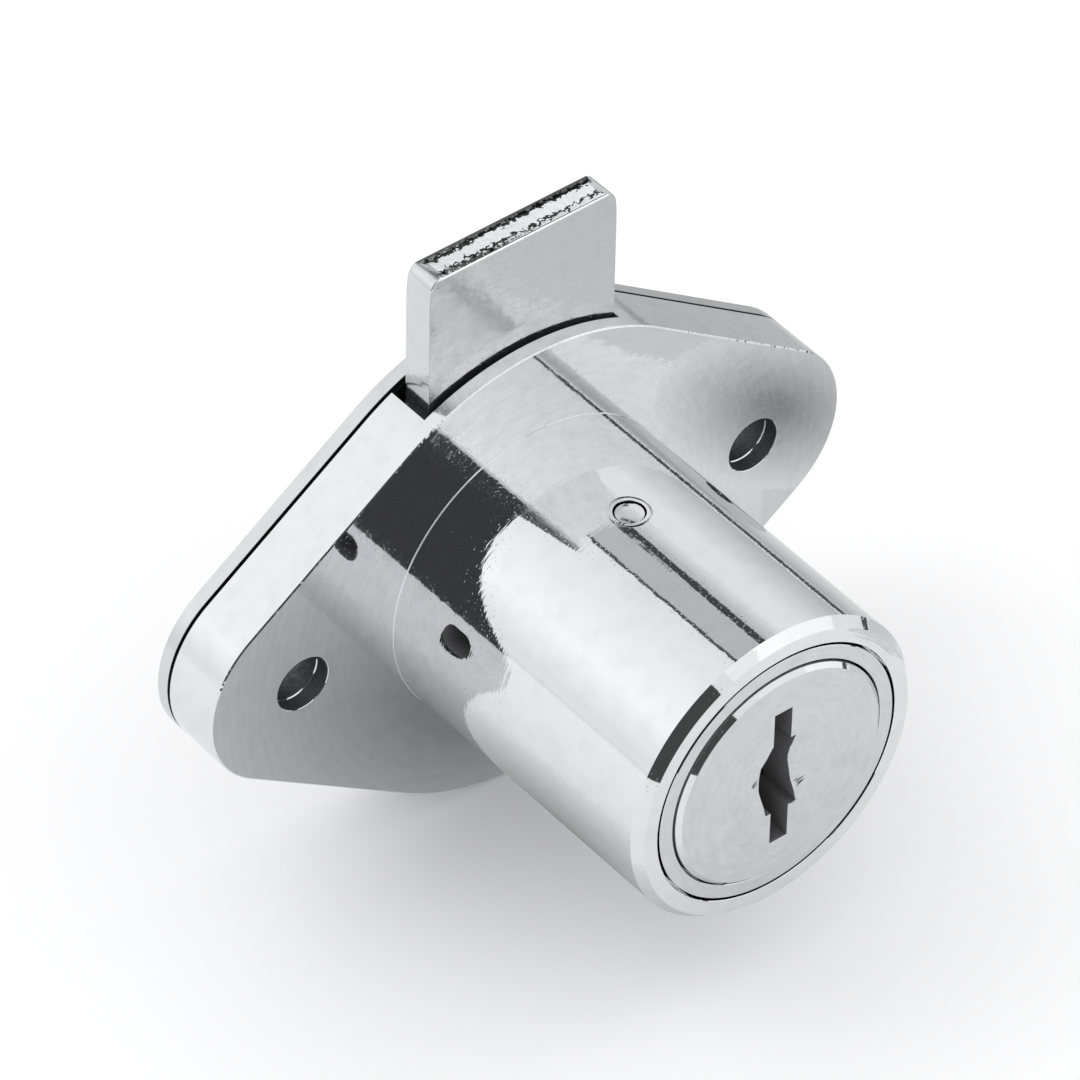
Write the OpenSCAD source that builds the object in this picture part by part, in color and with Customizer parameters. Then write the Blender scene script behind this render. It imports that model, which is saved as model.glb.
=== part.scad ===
// Drawer lock: a round barrel on a two-eared flange, with a flat bolt that rises out of the top edge.
// X runs along the flange, Y points into the drawer and Z is up.
// The origin lies on the barrel's axis, in the face that bears on the inside of the drawer front.
// A quarter turn of the plug carries the drive pin from upper right to lower right, and the bolt down.

/* [Flange] */
// Distance between the two screw holes
screw_spacing = 31.2; // [29.6:0.1:36]
// Diameter of the screw holes
screw_hole_d = 3.4; // [2.5:0.1:4.5]
// Diameter of the flange's round middle
flange_d = 30; // [29.2:0.1:33]
// Radius of the ears round the screw holes
ear_r = 6.1; // [4.5:0.1:7.5]
// Wall between the drawer front and the bolt's channel
front_wall = 0.95; // [0.8:0.05:2]
// Width of the bevel round the flange's outer edges
edge_bevel = 0.15; // [0.1:0.05:0.5]
// Width of the bevels that meet at the seam between flange and back plate
seam_bevel = 0.12; // [0.05:0.01:0.3]

/* [Back plate] */
// Thickness of the back plate
plate_t = 1.0; // [0.6:0.1:2]
// Height of the pad pressed into the plate behind the bolt
plate_pad = 0.5; // [0.3:0.05:0.8]
// Diameter of the rivets' shanks
rivet_d = 1.6; // [1:0.1:2]
// Diameter of the rivets' heads
rivet_head_d = 2.8; // [2.2:0.1:3.4]
// Height of the rivets' heads
rivet_head_t = 0.5; // [0.3:0.05:0.8]
// How deep the rivets go into the flange
rivet_depth = 2.3; // [1.5:0.1:2.7]
// Half the distance between the rivets along the flange
rivet_x = 10.4; // [9.6:0.1:11]
// Half the distance between the rivets across the flange
rivet_y = 5.2; // [3:0.1:6.5]

/* [Barrel] */
// Outer diameter of the barrel
barrel_d = 19; // [18.2:0.1:21]
// Length of the barrel in front of the flange
barrel_len = 20.7; // [18:0.1:26]
// Axial width of the bevel on the barrel's front edge
barrel_bevel = 0.6; // [0.2:0.05:1]
// Radial width of the bevel on the barrel's front edge
barrel_bevel_r = 0.45; // [0.2:0.05:0.8]
// Radius of the fillet between barrel and flange
root_fillet = 0.2; // [0.1:0.05:0.4]
// Length of the core release slot in the barrel's side
release_len = 2.2; // [1.5:0.1:3]
// Width of the core release slot
release_w = 1.4; // [0.8:0.1:1.8]
// Distance from the stop pin back to the release slot
release_offset = 3.2; // [2.5:0.1:4]

/* [Front ring] */
// Radial width of the ring round the plug's face
ring_w = 1.1; // [0.7:0.05:1.4]
// Length of the ring along the barrel
ring_len = 2; // [1.2:0.1:3]

/* [Plug] */
// Diameter of the plug
plug_d = 14; // [13.6:0.1:14.6]
// Radial running clearance between the plug and its bore
plug_gap = 0.05; // [0.02:0.01:0.08]
// How far the plug's face stands in front of the ring
plug_proud = 0.3; // [0:0.05:0.6]
// Width of the bevel round the plug's face
plug_bevel = 0.35; // [0.1:0.05:0.6]
// Clearance between the plug's inner end and the bolt's channel
plug_end_gap = 0.2; // [0.1:0.05:0.4]
// Diameter of the shallow dish round the keyhole
dish_d = 4; // [3:0.1:5]
// Depth of the dish
dish_depth = 0.2; // [0.1:0.05:0.6]

/* [Keyway] */
// Width of the keyway's narrow ends
key_slot_w = 1.2; // [0.9:0.05:1.5]
// Height of the whole keyway
key_slot_h = 9.3; // [8:0.1:10]
// Height of the keyway's broad middle
key_mid_h = 4.9; // [4.6:0.1:5.6]
// Reach of the broad middle to the left of the axis
key_left = 1.4; // [1.1:0.05:1.4]
// Reach of the broad middle's lower left corner
key_heel = 0.95; // [0.8:0.05:1.1]
// Reach of the broad middle's lower right corner
key_right = 1.1; // [0.8:0.05:1.3]
// Reach of the small tooth at the upper right
key_tooth = 0.95; // [0.8:0.05:1.2]
// Height of the ward that stands in below the tooth
ward_h = 1.1; // [0.8:0.1:1.4]
// Height of the ward's middle above the axis
ward_y = 1.2; // [1:0.1:1.4]

/* [Wafers] */
// Thickness of a wafer
wafer_t = 0.85; // [0.7:0.05:0.9]
// Distance from one wafer to the next
wafer_pitch = 1.5; // [1.5:0.05:1.7]
// Width of a wafer
wafer_w = 5; // [4.6:0.1:5.2]
// Clearance between a wafer and its slot, on each side
wafer_gap = 0.05; // [0.03:0.01:0.08]
// How far a wafer's ends stay inside the plug's surface when the plug is free to turn
wafer_inset = 0.1; // [0.05:0.05:0.3]
// How far a spring lifts its wafer out of the plug
wafer_lift = 0.8; // [0.5:0.05:0.9]
// Width of a wafer's window
window_w = 2.9; // [2.6:0.1:3.2]
// Height of a wafer's window
window_h = 7.4; // [6.5:0.1:8]
// Reach of a wafer's spring lug beyond its side
lug_reach = 1.6; // [1.5:0.05:1.8]
// Height of the lug's lower edge above the axis
lug_y = 0.6; // [0.2:0.1:1]
// Height of the lug
lug_h = 1.2; // [0.8:0.1:1.5]

/* [Wafer springs] */
// Mean radius of a spring's coil
coil_r = 0.45; // [0.4:0.01:0.5]
// Diameter of the spring wire
spring_wire_d = 0.2; // [0.15:0.01:0.22]
// Height of a spring with its wafer inside the plug
spring_h = 3.8; // [3.4:0.1:4]
// Number of turns of wire in a spring
spring_turns = 5; // [4:1:5]
// Clearance round a spring in its pocket
pocket_gap = 0.15; // [0.1:0.01:0.18]

/* [Bolt] */
// Width of the bolt
bolt_w = 12.6; // [12:0.1:13]
// Thickness of the bolt
bolt_t = 2; // [1.5:0.1:3]
// How far the locked bolt stands above the flange
bolt_reach = 7.4; // [5:0.1:9]
// Radius of the bolt's upper corners
bolt_corner_r = 1.2; // [0.5:0.1:2]
// Radius of the bolt's long upper edges
bolt_edge_r = 0.5; // [0.1:0.05:0.7]
// Length of the bolt below the drive pin's notch
bolt_tail = 6.2; // [5:0.1:6.5]
// Running clearance beside and behind the bolt
slide_gap = 0.15; // [0.1:0.01:0.25]
// Running clearance in front of the bolt
front_gap = 0.2; // [0.15:0.05:0.6]
// Gap beside the bolt at the mouth of the channel
mouth_side_gap = 0.5; // [0.4:0.05:0.8]
// Depth of the open mouth below the top of the flange
mouth_depth = 2.5; // [1.5:0.1:4]

/* [Drive pin] */
// Diameter of the pin that carries the bolt
drive_pin_d = 2.6; // [2:0.1:2.7]
// Metal left in the plug outside the drive pin, which sets the pin's circle and so the bolt's travel
pin_land = 0.4; // [0.35:0.05:0.8]
// Length of the drive pin inside the plug
drive_pin_seat = 3; // [2:0.1:4]
// Clearance between the drive pin and its notch in the bolt
notch_gap = 0.25; // [0.22:0.01:0.4]

/* [Stop pin] */
// Diameter of the pin that holds the plug in the barrel and ends its turn
stop_pin_d = 1.8; // [1.4:0.1:2.2]
// Width of the staked groove round the pin's outer end
stake_w = 0.3; // [0.2:0.05:0.5]
// Depth of the plug's groove that the stop pin runs in
stop_groove_depth = 1.3; // [0.8:0.1:1.6]
// Clearance between the stop pin and the groove
stop_gap = 0.15; // [0.1:0.01:0.2]
// Metal between the last wafer and the stop pin's groove
stop_web = 0.85; // [0.5:0.05:1.2]

/* [Hidden] */

// Facets of a round part, and the margin by which a cut runs past the face that it opens
ROUND = 96;
FINE = 48;
OVER = 1;

// Angle between the two directions that the plug stops at
QUARTER = 90;

// How far each wafer's window is shifted from the middle, which is what the key's cuts answer
WINDOW_SHIFTS = [0.3, -0.2, 0.5, 0, 0.4, -0.4];
WAFERS = len(WINDOW_SHIFTS);

mid_r = flange_d / 2;
ear_x = screw_spacing / 2;
barrel_r = barrel_d / 2;
plug_r = plug_d / 2;
bore_r = plug_r + plug_gap;
ring_r = bore_r + ring_w;
face_z = barrel_len + plug_proud;

// Depths of the bolt's faces behind the mounting face, and of the flange as a whole
bolt_front = front_wall + front_gap;
bolt_back = bolt_front + bolt_t;
flange_t = bolt_back + slide_gap + plate_pad;
plug_end = front_wall - plug_end_gap;

// The straight sides of the flange: angle of their normal from the X axis, length and depth inside the tangent
side_angle = acos((mid_r - ear_r) / ear_x);
side_len = ear_x * sin(side_angle);
side_trim = 0.01;

// Drive pin: half the bolt's travel above the axis at rest, half below after the quarter turn
drive_r = plug_r - drive_pin_d / 2 - pin_land;
drive_xy = drive_r / sqrt(2);
bolt_throw = 2 * drive_xy;
notch_half = drive_pin_d / 2 + notch_gap;
bolt_top = mid_r + bolt_reach;
bolt_bottom = drive_xy - notch_half - bolt_tail;
bolt_foot = 0.8;
notch_end_gap = 0.5;
channel_end_gap = 0.5;
channel_bottom = bolt_bottom - bolt_throw - channel_end_gap;
well_room = 1;
drive_well = drive_xy + drive_pin_d / 2 + well_room;
well_side_gap = 0.7;

// The pressed pad: half its width, its lower and upper ends, its cut corners and the wall round its hollow
pad_x = 5.2;
pad_low = -9.5;
pad_high = 11;
pad_corner = 1;
pad_wall = 0.5;

// The stack of wafers starts behind the front ring
slot_t = wafer_t + 2 * wafer_gap;
front_web = 0.3;
first_wafer_z = barrel_len - ring_len - front_web - slot_t / 2;
stack_end_z = first_wafer_z - (WAFERS - 1) * wafer_pitch - slot_t / 2;
wafer_r = plug_r - wafer_inset;
groove_gap = 0.2;
groove_end_gap = 0.3;
groove_r = wafer_r + wafer_lift + groove_end_gap;

// The stop pin follows the stack
stop_groove_w = stop_pin_d + 2 * stop_gap;
stop_z = stack_end_z - stop_web - stop_groove_w / 2;
stop_floor_r = plug_r - stop_groove_depth;
stop_margin = asin((stop_pin_d / 2 + stop_gap) / stop_floor_r);
stop_flush = 0.08;
stake_depth = 0.3;
release_angle = 162;
keyway_end_gap = 0.2;
keyway_end_z = stack_end_z - keyway_end_gap;
dish_floor_d = 0.6 * dish_d;

// Share of the broad middle's half height over which its left side stands straight, below and above the axis
shoulder_low = 0.2;
shoulder_high = 0.5;

// Springs and their pockets in the plug
spring_offset = 0.9;
spring_x = wafer_w / 2 + spring_offset;
spring_floor = lug_y - spring_h;
pocket_r = coil_r + spring_wire_d / 2 + pocket_gap;
spring_seat = 0.02;
lug_root = 0.2;
lug_gap = 0.15;
CURL_RINGS = 8;
CURL_SIDES = 6;

function wafer_z(i) = first_wafer_z - (i - 1) * wafer_pitch;
function wafer_side(i) = i % 2 == 1 ? 1 : -1;

// Turns shapes drawn with Z towards the key so that they lie along the barrel
module face_frame() {
    rotate([90, 0, 0])
        children();
}

// Bevels along an arc of the outline, from angle first to angle last
module arc_bevel(r, t, low, high, first, last) {
    rotate([0, 0, first])
        rotate_extrude(angle = last - first, $fn = ROUND) {
            polygon([[r - high - OVER, t + OVER], [r + OVER, t + OVER], [r + OVER, t - high - OVER]]);
            polygon([[r - low - OVER, -OVER], [r + OVER, -OVER], [r + OVER, low + OVER]]);
        }
}

// Cuts one straight side with its bevels, just inside the tangent, so that it meets both arcs at a clear edge
module side_cut(t, low, high) {
    near = mid_r - side_trim;
    far = mid_r + OVER;
    rotate([0, 0, side_angle])
        translate([0, ear_r, 0])
            rotate([90, 0, 0])
                linear_extrude(side_len + 2 * ear_r)
                    polygon([[near - low - OVER, -OVER], [near, low], [near, t - high],
                        [near - high - OVER, t + OVER], [far, t + OVER], [far, -OVER]]);
}

// The flange's shape: a round middle, two round ears and the straight sides between them
module flange_blank(t, low, high) {
    tangent = [cos(side_angle), sin(side_angle)];
    mid = mid_r * tangent;
    ear = [ear_x, 0] + ear_r * tangent;
    difference() {
        difference() {
            union() {
                cylinder(r = mid_r, h = t, $fn = ROUND);
                for (side = [-1, 1])
                    translate([side * ear_x, 0, 0])
                        cylinder(r = ear_r, h = t, $fn = ROUND);
                linear_extrude(t)
                    polygon([mid, ear, [ear.x, -ear.y], [mid.x, -mid.y],
                        [-mid.x, -mid.y], [-ear.x, -ear.y], [-ear.x, ear.y], [-mid.x, mid.y]]);
            }
            for (half = [0, 180])
                rotate([0, 0, half]) {
                    side_cut(t, low, high);
                    mirror([1, 0, 0])
                        side_cut(t, low, high);
                }
        }
        for (half = [0, 180])
            rotate([0, 0, half]) {
                arc_bevel(mid_r, t, low, high, side_angle, 180 - side_angle);
                translate([ear_x, 0, 0])
                    arc_bevel(ear_r, t, low, high, -side_angle, side_angle);
            }
    }
}

// Holes for the two wood screws
module screw_holes() {
    for (side = [-1, 1])
        translate([side * ear_x, 0, -flange_t - plate_t - OVER])
            cylinder(d = screw_hole_d, h = flange_t + plate_t + 2 * OVER, $fn = FINE);
}

// Children repeated at the four rivets
module at_rivets() {
    for (side = [-1, 1], end = [-1, 1])
        translate([side * rivet_x, end * rivet_y, -flange_t])
            children();
}

// One box of the bolt's channel, from the front wall to the open back
module channel_box(half, low, high) {
    back = -flange_t - OVER;
    translate([-half, low, back])
        cube([2 * half, high - low, -front_wall - back]);
}

// The bolt's channel: guides close to the bolt, a wider mouth on top and a well for the drive pin
module bolt_channel() {
    half = bolt_w / 2;
    channel_box(half + slide_gap, channel_bottom, mid_r + OVER);
    channel_box(half + mouth_side_gap, mid_r - mouth_depth, mid_r + OVER);
    channel_box(half + well_side_gap, -drive_well, drive_well);
}

// Grooves in the bore that take the lifted wafers at both ends of the plug's turn
module wafer_grooves() {
    groove_w = wafer_w + 2 * groove_gap;
    groove_end = stack_end_z - groove_end_gap;
    for (turn = [0, -QUARTER])
        rotate([0, 0, turn])
            intersection() {
                translate([0, 0, groove_end])
                    cylinder(r = groove_r, h = barrel_len - ring_len / 2 - groove_end, $fn = ROUND);
                translate([-groove_w / 2, 0, groove_end])
                    cube([groove_w, barrel_r, barrel_len]);
            }
}

// Slot in the barrel's side through which the core is released
module release_slot() {
    run = release_len - release_w;
    translate([0, 0, stop_z - release_offset])
        rotate([0, 0, release_angle])
            rotate([0, 90, 0]) {
                for (end = [-1, 1])
                    translate([end * run / 2, 0, plug_r - OVER])
                        cylinder(d = release_w, h = barrel_r, $fn = FINE);
                translate([-run / 2, -release_w / 2, plug_r - OVER])
                    cube([run, release_w, barrel_r]);
            }
}

// The stop pin's hole, with the groove that staking leaves round its outer end
module stop_pin_hole() {
    translate([0, 0, stop_z])
        rotate([-90, 0, 0]) {
            cylinder(d = stop_pin_d, h = barrel_r + OVER, $fn = FINE);
            translate([0, 0, barrel_r - stake_depth])
                cylinder(d = stop_pin_d + 2 * stake_w, h = OVER, $fn = FINE);
        }
}

// Cast body: flange, barrel, bolt channel and bore in one piece
module lock_body() {
    color("gainsboro")
        face_frame()
            difference() {
                union() {
                    translate([0, 0, -flange_t])
                        flange_blank(flange_t, seam_bevel, edge_bevel);
                    rotate_extrude($fn = ROUND)
                        polygon([[0, -front_wall / 2], [barrel_r, -front_wall / 2],
                            [barrel_r, barrel_len - barrel_bevel],
                            [barrel_r - barrel_bevel_r, barrel_len], [0, barrel_len]]);
                    rotate_extrude($fn = ROUND)
                        difference() {
                            translate([barrel_r - root_fillet, -root_fillet])
                                square(2 * root_fillet);
                            translate([barrel_r + root_fillet, root_fillet])
                                circle(r = root_fillet, $fn = FINE);
                        }
                }
                translate([0, 0, -front_wall - OVER])
                    cylinder(r = bore_r, h = barrel_len + front_wall + 2 * OVER, $fn = ROUND);
                translate([0, 0, barrel_len - ring_len])
                    cylinder(r = ring_r, h = ring_len + OVER, $fn = ROUND);
                bolt_channel();
                wafer_grooves();
                release_slot();
                stop_pin_hole();
                screw_holes();
                at_rivets()
                    translate([0, 0, -OVER])
                        cylinder(d = rivet_d, h = rivet_depth + OVER, $fn = FINE);
            }
}

// Block with cut corners, inset from the pressed pad's outline
module pad_block(inset, base, height) {
    x = pad_x - inset;
    low = pad_low + inset;
    high = pad_high - inset;
    inner_x = x - pad_corner;
    translate([0, 0, base])
        linear_extrude(height)
            polygon([[x, low + pad_corner], [x, high - pad_corner], [inner_x, high], [-inner_x, high],
                [-x, high - pad_corner], [-x, low + pad_corner], [-inner_x, low], [inner_x, low]]);
}

// Steel plate that closes the bolt's channel, with a pad pressed forward to guide the bolt
module back_plate() {
    back = -flange_t - plate_t;
    color("lightgray")
        face_frame()
            difference() {
                union() {
                    translate([0, 0, back])
                        flange_blank(plate_t, edge_bevel, seam_bevel);
                    pad_block(0, back + plate_t / 2, plate_t / 2 + plate_pad);
                }
                pad_block(pad_wall, back - OVER, plate_pad + OVER);
                screw_holes();
                at_rivets()
                    translate([0, 0, -plate_t - OVER])
                        cylinder(d = rivet_d, h = plate_t + 2 * OVER, $fn = FINE);
            }
}

// Four rivets with low domed heads, alike
module plate_rivets() {
    head_r = rivet_head_d / 2;
    dome_r = (head_r * head_r + rivet_head_t * rivet_head_t) / (2 * rivet_head_t);
    color("silver")
        face_frame()
            at_rivets() {
                translate([0, 0, -plate_t])
                    cylinder(d = rivet_d, h = plate_t + rivet_depth, $fn = FINE);
                translate([0, 0, -plate_t])
                    intersection() {
                        translate([0, 0, dome_r - rivet_head_t])
                            sphere(r = dome_r, $fn = FINE);
                        translate([0, 0, -rivet_head_t])
                            cylinder(r = head_r, h = rivet_head_t, $fn = FINE);
                    }
            }
}

// Ring pressed into the barrel's mouth, which keeps the wafers' grooves covered
module front_ring() {
    color("silver")
        face_frame()
            translate([0, 0, barrel_len - ring_len])
                difference() {
                    cylinder(r = ring_r, h = ring_len, $fn = ROUND);
                    translate([0, 0, -OVER])
                        cylinder(r = bore_r, h = ring_len + 2 * OVER, $fn = ROUND);
                }
}

// Pin staked into the barrel's top, with its inner end in the plug's groove
module stop_pin() {
    inner = stop_floor_r + stop_gap;
    color("darkgray")
        face_frame()
            translate([0, inner, stop_z])
                rotate([-90, 0, 0])
                    cylinder(d = stop_pin_d, h = barrel_r - stop_flush - inner, $fn = FINE);
}

// Cross-section of the keyway: narrow ends, a broad middle that leans to the left, and a ward on the right
module keyway_outline() {
    slot = key_slot_w / 2;
    end = key_slot_h / 2;
    mid = key_mid_h / 2;
    ward_top = ward_y + ward_h / 2;
    ward_foot = ward_y - ward_h / 2;
    polygon([[slot, end], [slot, mid], [key_tooth, mid], [slot, ward_top], [slot, ward_foot],
        [key_right, -mid], [slot, -mid], [slot, -end], [-slot, -end], [-slot, -mid], [-key_heel, -mid],
        [-key_left, -shoulder_low * mid], [-key_left, shoulder_high * mid], [-slot, mid], [-slot, end]]);
}

// Room in the plug for one wafer, its lug and its spring
module wafer_slot(i) {
    side = wafer_side(i);
    translate([0, 0, wafer_z(i)]) {
        cube([wafer_w + 2 * wafer_gap, 2 * plug_d, slot_t], center = true);
        mirror([side == 1 ? 0 : 1, 0, 0]) {
            translate([0, lug_y - lug_gap, -slot_t / 2])
                cube([wafer_w / 2 + lug_reach + lug_gap, plug_d, slot_t]);
            translate([spring_x, spring_floor, 0])
                rotate([-90, 0, 0])
                    cylinder(r = pocket_r, h = spring_h, $fn = FINE);
        }
    }
}

// Groove along which the stop pin runs through the plug's quarter turn
module stop_groove() {
    translate([0, 0, stop_z - stop_groove_w / 2])
        rotate([0, 0, QUARTER - stop_margin])
            rotate_extrude(angle = QUARTER + 2 * stop_margin, $fn = ROUND)
                translate([stop_floor_r, 0])
                    square([plug_r, stop_groove_w]);
}

// Turning plug with the keyway, the wafers' slots and the stop pin's groove
module plug() {
    color("whitesmoke")
        face_frame()
            difference() {
                rotate_extrude($fn = ROUND)
                    polygon([[0, -plug_end], [plug_r, -plug_end], [plug_r, face_z - plug_bevel],
                        [plug_r - plug_bevel, face_z], [0, face_z]]);
                translate([0, 0, keyway_end_z])
                    linear_extrude(face_z - keyway_end_z + OVER)
                        keyway_outline();
                translate([0, 0, face_z - dish_depth])
                    cylinder(d1 = dish_floor_d, d2 = dish_d, h = dish_depth, $fn = FINE);
                for (i = [1 : WAFERS])
                    wafer_slot(i);
                stop_groove();
                translate([drive_xy, drive_xy, -plug_end - OVER])
                    cylinder(d = drive_pin_d, h = drive_pin_seat + OVER, $fn = FINE);
            }
}

// Eccentric pin pressed into the plug's inner end
module drive_pin() {
    tip = bolt_back - slide_gap;
    color("darkgray")
        face_frame()
            translate([drive_xy, drive_xy, -tip])
                cylinder(d = drive_pin_d, h = tip - plug_end + drive_pin_seat, $fn = FINE);
}

// A rectangle from Y = low to high with its upper corners rounded
module round_topped(w, low, high, r) {
    translate([-w / 2, low])
        square([w, high - low - r]);
    translate([-w / 2 + r, low])
        square([w - 2 * r, high - low]);
    for (side = [-1, 1])
        translate([side * (w / 2 - r), high - r])
            circle(r = r, $fn = FINE);
}

// Flat bolt with rounded upper corners and edges, and a side notch for the drive pin
module bolt() {
    notch_inner = drive_xy - drive_pin_d / 2 - notch_end_gap;
    color("gainsboro")
        face_frame()
            difference() {
                intersection() {
                    translate([0, 0, -bolt_back])
                        linear_extrude(bolt_t)
                            round_topped(bolt_w, bolt_bottom, bolt_top, bolt_corner_r);
                    translate([0, 0, -bolt_back + bolt_t / 2])
                        rotate([0, 90, 0])
                            linear_extrude(bolt_w + OVER, center = true)
                                round_topped(bolt_t, bolt_bottom, bolt_top, bolt_edge_r);
                }
                translate([notch_inner, drive_xy - notch_half, -bolt_back - OVER])
                    cube([bolt_w, 2 * notch_half, bolt_t + 2 * OVER]);
                for (side = [-1, 1])
                    translate([side * bolt_w / 2, bolt_bottom, -bolt_back - OVER])
                        rotate([0, 0, 45])
                            translate([-bolt_foot, -bolt_foot, 0])
                                cube([2 * bolt_foot, 2 * bolt_foot, bolt_t + 2 * OVER]);
            }
}

// One wafer: round ends inside the plug's surface, a window for the key and a lug for the spring
module wafer(i) {
    side = wafer_side(i);
    color("goldenrod")
        face_frame()
            translate([0, 0, wafer_z(i) - wafer_t / 2])
                linear_extrude(wafer_t) {
                    difference() {
                        intersection() {
                            square([wafer_w, plug_d], center = true);
                            circle(r = wafer_r, $fn = ROUND);
                        }
                        translate([0, WINDOW_SHIFTS[i - 1]])
                            square([window_w, window_h], center = true);
                    }
                    translate([side * (wafer_w / 2 + (lug_reach - lug_root) / 2), lug_y + lug_h / 2])
                        square([lug_reach + lug_root, lug_h], center = true);
                }
}

// Point b of ring a on a coiled wire that climbs along Y
function coil_point(a, b, rise) =
    let (
        turn = a * 360 / CURL_RINGS,
        around = b * 360 / CURL_SIDES,
        wire_r = spring_wire_d / 2,
        out = coil_r + wire_r * cos(around)
    )
    [out * cos(turn), wire_r + rise * a + wire_r * sin(around), out * sin(turn)];

// One wafer's compression spring, standing in its pocket under the lug
module wafer_spring(i) {
    rings = CURL_RINGS * spring_turns;
    rise = (spring_h - 2 * spring_seat - spring_wire_d) / rings;
    points = [for (a = [0 : rings], b = [0 : CURL_SIDES - 1]) coil_point(a, b, rise)];
    sides = [for (a = [0 : rings - 1], b = [0 : CURL_SIDES - 1], half = [0, 1])
        let (
            p = a * CURL_SIDES + b,
            q = a * CURL_SIDES + (b + 1) % CURL_SIDES
        )
        half == 0 ? [p, p + CURL_SIDES, q] : [q, p + CURL_SIDES, q + CURL_SIDES]];
    last = rings * CURL_SIDES;
    caps = [for (b = [1 : CURL_SIDES - 2], end = [0, 1])
        end == 0 ? [0, b, b + 1] : [last, last + b + 1, last + b]];
    color("silver")
        face_frame()
            translate([wafer_side(i) * spring_x, spring_floor + spring_seat, wafer_z(i)])
                polyhedron(points = points, faces = concat(sides, caps));
}

lock_body();
back_plate();
plate_rivets();
front_ring();
stop_pin();
plug();
drive_pin();
bolt();
wafer(1);  // wafer_1
wafer(2);  // wafer_2
wafer(3);  // wafer_3
wafer(4);  // wafer_4
wafer(5);  // wafer_5
wafer(6);  // wafer_6
wafer_spring(1);  // wafer_spring_1
wafer_spring(2);  // wafer_spring_2
wafer_spring(3);  // wafer_spring_3
wafer_spring(4);  // wafer_spring_4
wafer_spring(5);  // wafer_spring_5
wafer_spring(6);  // wafer_spring_6
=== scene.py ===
"""Looks of a drawer lock: bright nickel body, plug and bolt, with the studio that shows them."""

import math

import bmesh
import bpy
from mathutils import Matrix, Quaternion, Vector


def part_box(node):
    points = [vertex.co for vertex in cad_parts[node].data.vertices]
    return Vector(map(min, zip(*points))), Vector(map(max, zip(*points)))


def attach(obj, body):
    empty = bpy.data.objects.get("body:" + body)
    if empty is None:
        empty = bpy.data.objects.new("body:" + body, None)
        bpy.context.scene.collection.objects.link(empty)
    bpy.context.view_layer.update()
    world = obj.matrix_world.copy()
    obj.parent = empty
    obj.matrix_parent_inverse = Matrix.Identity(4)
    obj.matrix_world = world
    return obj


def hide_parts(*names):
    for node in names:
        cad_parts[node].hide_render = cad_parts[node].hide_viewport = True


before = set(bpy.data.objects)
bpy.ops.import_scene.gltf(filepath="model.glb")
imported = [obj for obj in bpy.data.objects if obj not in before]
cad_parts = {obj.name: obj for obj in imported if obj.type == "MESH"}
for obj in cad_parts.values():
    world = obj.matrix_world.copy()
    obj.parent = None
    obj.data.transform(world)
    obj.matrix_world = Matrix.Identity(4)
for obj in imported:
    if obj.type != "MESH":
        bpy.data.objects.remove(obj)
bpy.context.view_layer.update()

bl_info = {
    "name": "Drawer lock",
    "version": (1, 0, 0),
    "blender": (4, 5, 0),
    "location": "View3D > Sidebar > Drawer Lock",
    "description": "Models the lock's nickel pieces round the packed solids, and lights them",
    "category": "Object",
}

MM = 0.001
# How many sides rounds have, from the large ones to the tiny ones, and a studio card that goes all round.
ROUND = 192
DISC = 96
SMALL_ROUND = 64
TINY_ROUND = 32
FULL_CARD = 360
SMOOTH_ANGLE = math.radians(32)
# How far a cutting tool stands out of what it cuts, and a place outside all cuts round the axis, in mm.
OVER = 1.0
BEYOND = 9.0
# How near in mm a point is to the plane that it lies in, and to another that is level with it.
NEAR = 0.002
LEVEL = 0.0001
# Points that are nearer than this, in mm, are made one.
WELD = 0.001
# Rounding in mm of the edges that face the seam.
SEAM_EDGE = 0.03
WHITE = (1.0, 1.0, 1.0, 1.0)
# Metal left as it was cast or cut: its grain in mm, its roughness and its depth in mm.
AS_CAST = (0.25, 0.5, 0.01)
# Raw zinc scatters light under its dull skin, so its metallic value is low.
RAW = 0.2


def limits(node):
    """The lowest and the highest corner of a CAD node, in mm."""
    return [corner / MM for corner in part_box(node)]


BODY_LOW, BODY_HIGH = limits("lock_body")
PLATE_LOW, PLATE_HIGH = limits("back_plate")
RING_LOW, RING_HIGH = limits("front_ring")
PLUG_LOW, PLUG_HIGH = limits("plug")
BOLT_LOW, BOLT_HIGH = limits("bolt")
DRIVE_LOW, DRIVE_HIGH = limits("drive_pin")
STOP_LOW, STOP_HIGH = limits("stop_pin")
RIVET_LOW, RIVET_HIGH = limits("plate_rivets")
STOP_Y = (STOP_LOW.y + STOP_HIGH.y) / 2
DRIVE_X = (DRIVE_LOW.x + DRIVE_HIGH.x) / 2
DRIVE_Z = (DRIVE_LOW.z + DRIVE_HIGH.z) / 2
DRIVE_RADIUS = (DRIVE_HIGH.x - DRIVE_LOW.x) / 2
WAFER_NAMES = [f"wafer_{i}" for i in range(1, 7)]
SPRING_NAMES = [f"wafer_spring_{i}" for i in range(1, 7)]


def linear(hex_colour):
    """An sRGB hex colour in linear values."""
    shares = [int(hex_colour[i : i + 2], 16) / 255 for i in (1, 3, 5)]
    return [s / 12.92 if s <= 0.04045 else ((s + 0.055) / 1.055) ** 2.4 for s in shares]


# Metal that a key has scraped, also used as painted shade, and metal that shearing has torn, also used as a
# painted dark reflection.
SCRAPED_AND_SHADED = (*linear("#59595B"), 1.0)
TORN_AND_DARK_REFLECTION = (*linear("#3F3F40"), 1.0)


def length(title, text, millimetres):
    """A size that a user may change, in metres, with its default in millimetres."""
    return bpy.props.FloatProperty(
        name=title,
        description=text,
        default=millimetres * MM,
        min=0.0,
        precision=5,
        unit="LENGTH",
        subtype="DISTANCE",
    )


def colour(title, text, hex_colour):
    """A finish's colour that a user may change."""
    return bpy.props.FloatVectorProperty(
        name=title,
        description=text,
        default=linear(hex_colour),
        min=0.0,
        max=1.0,
        size=3,
        subtype="COLOR",
    )


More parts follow.
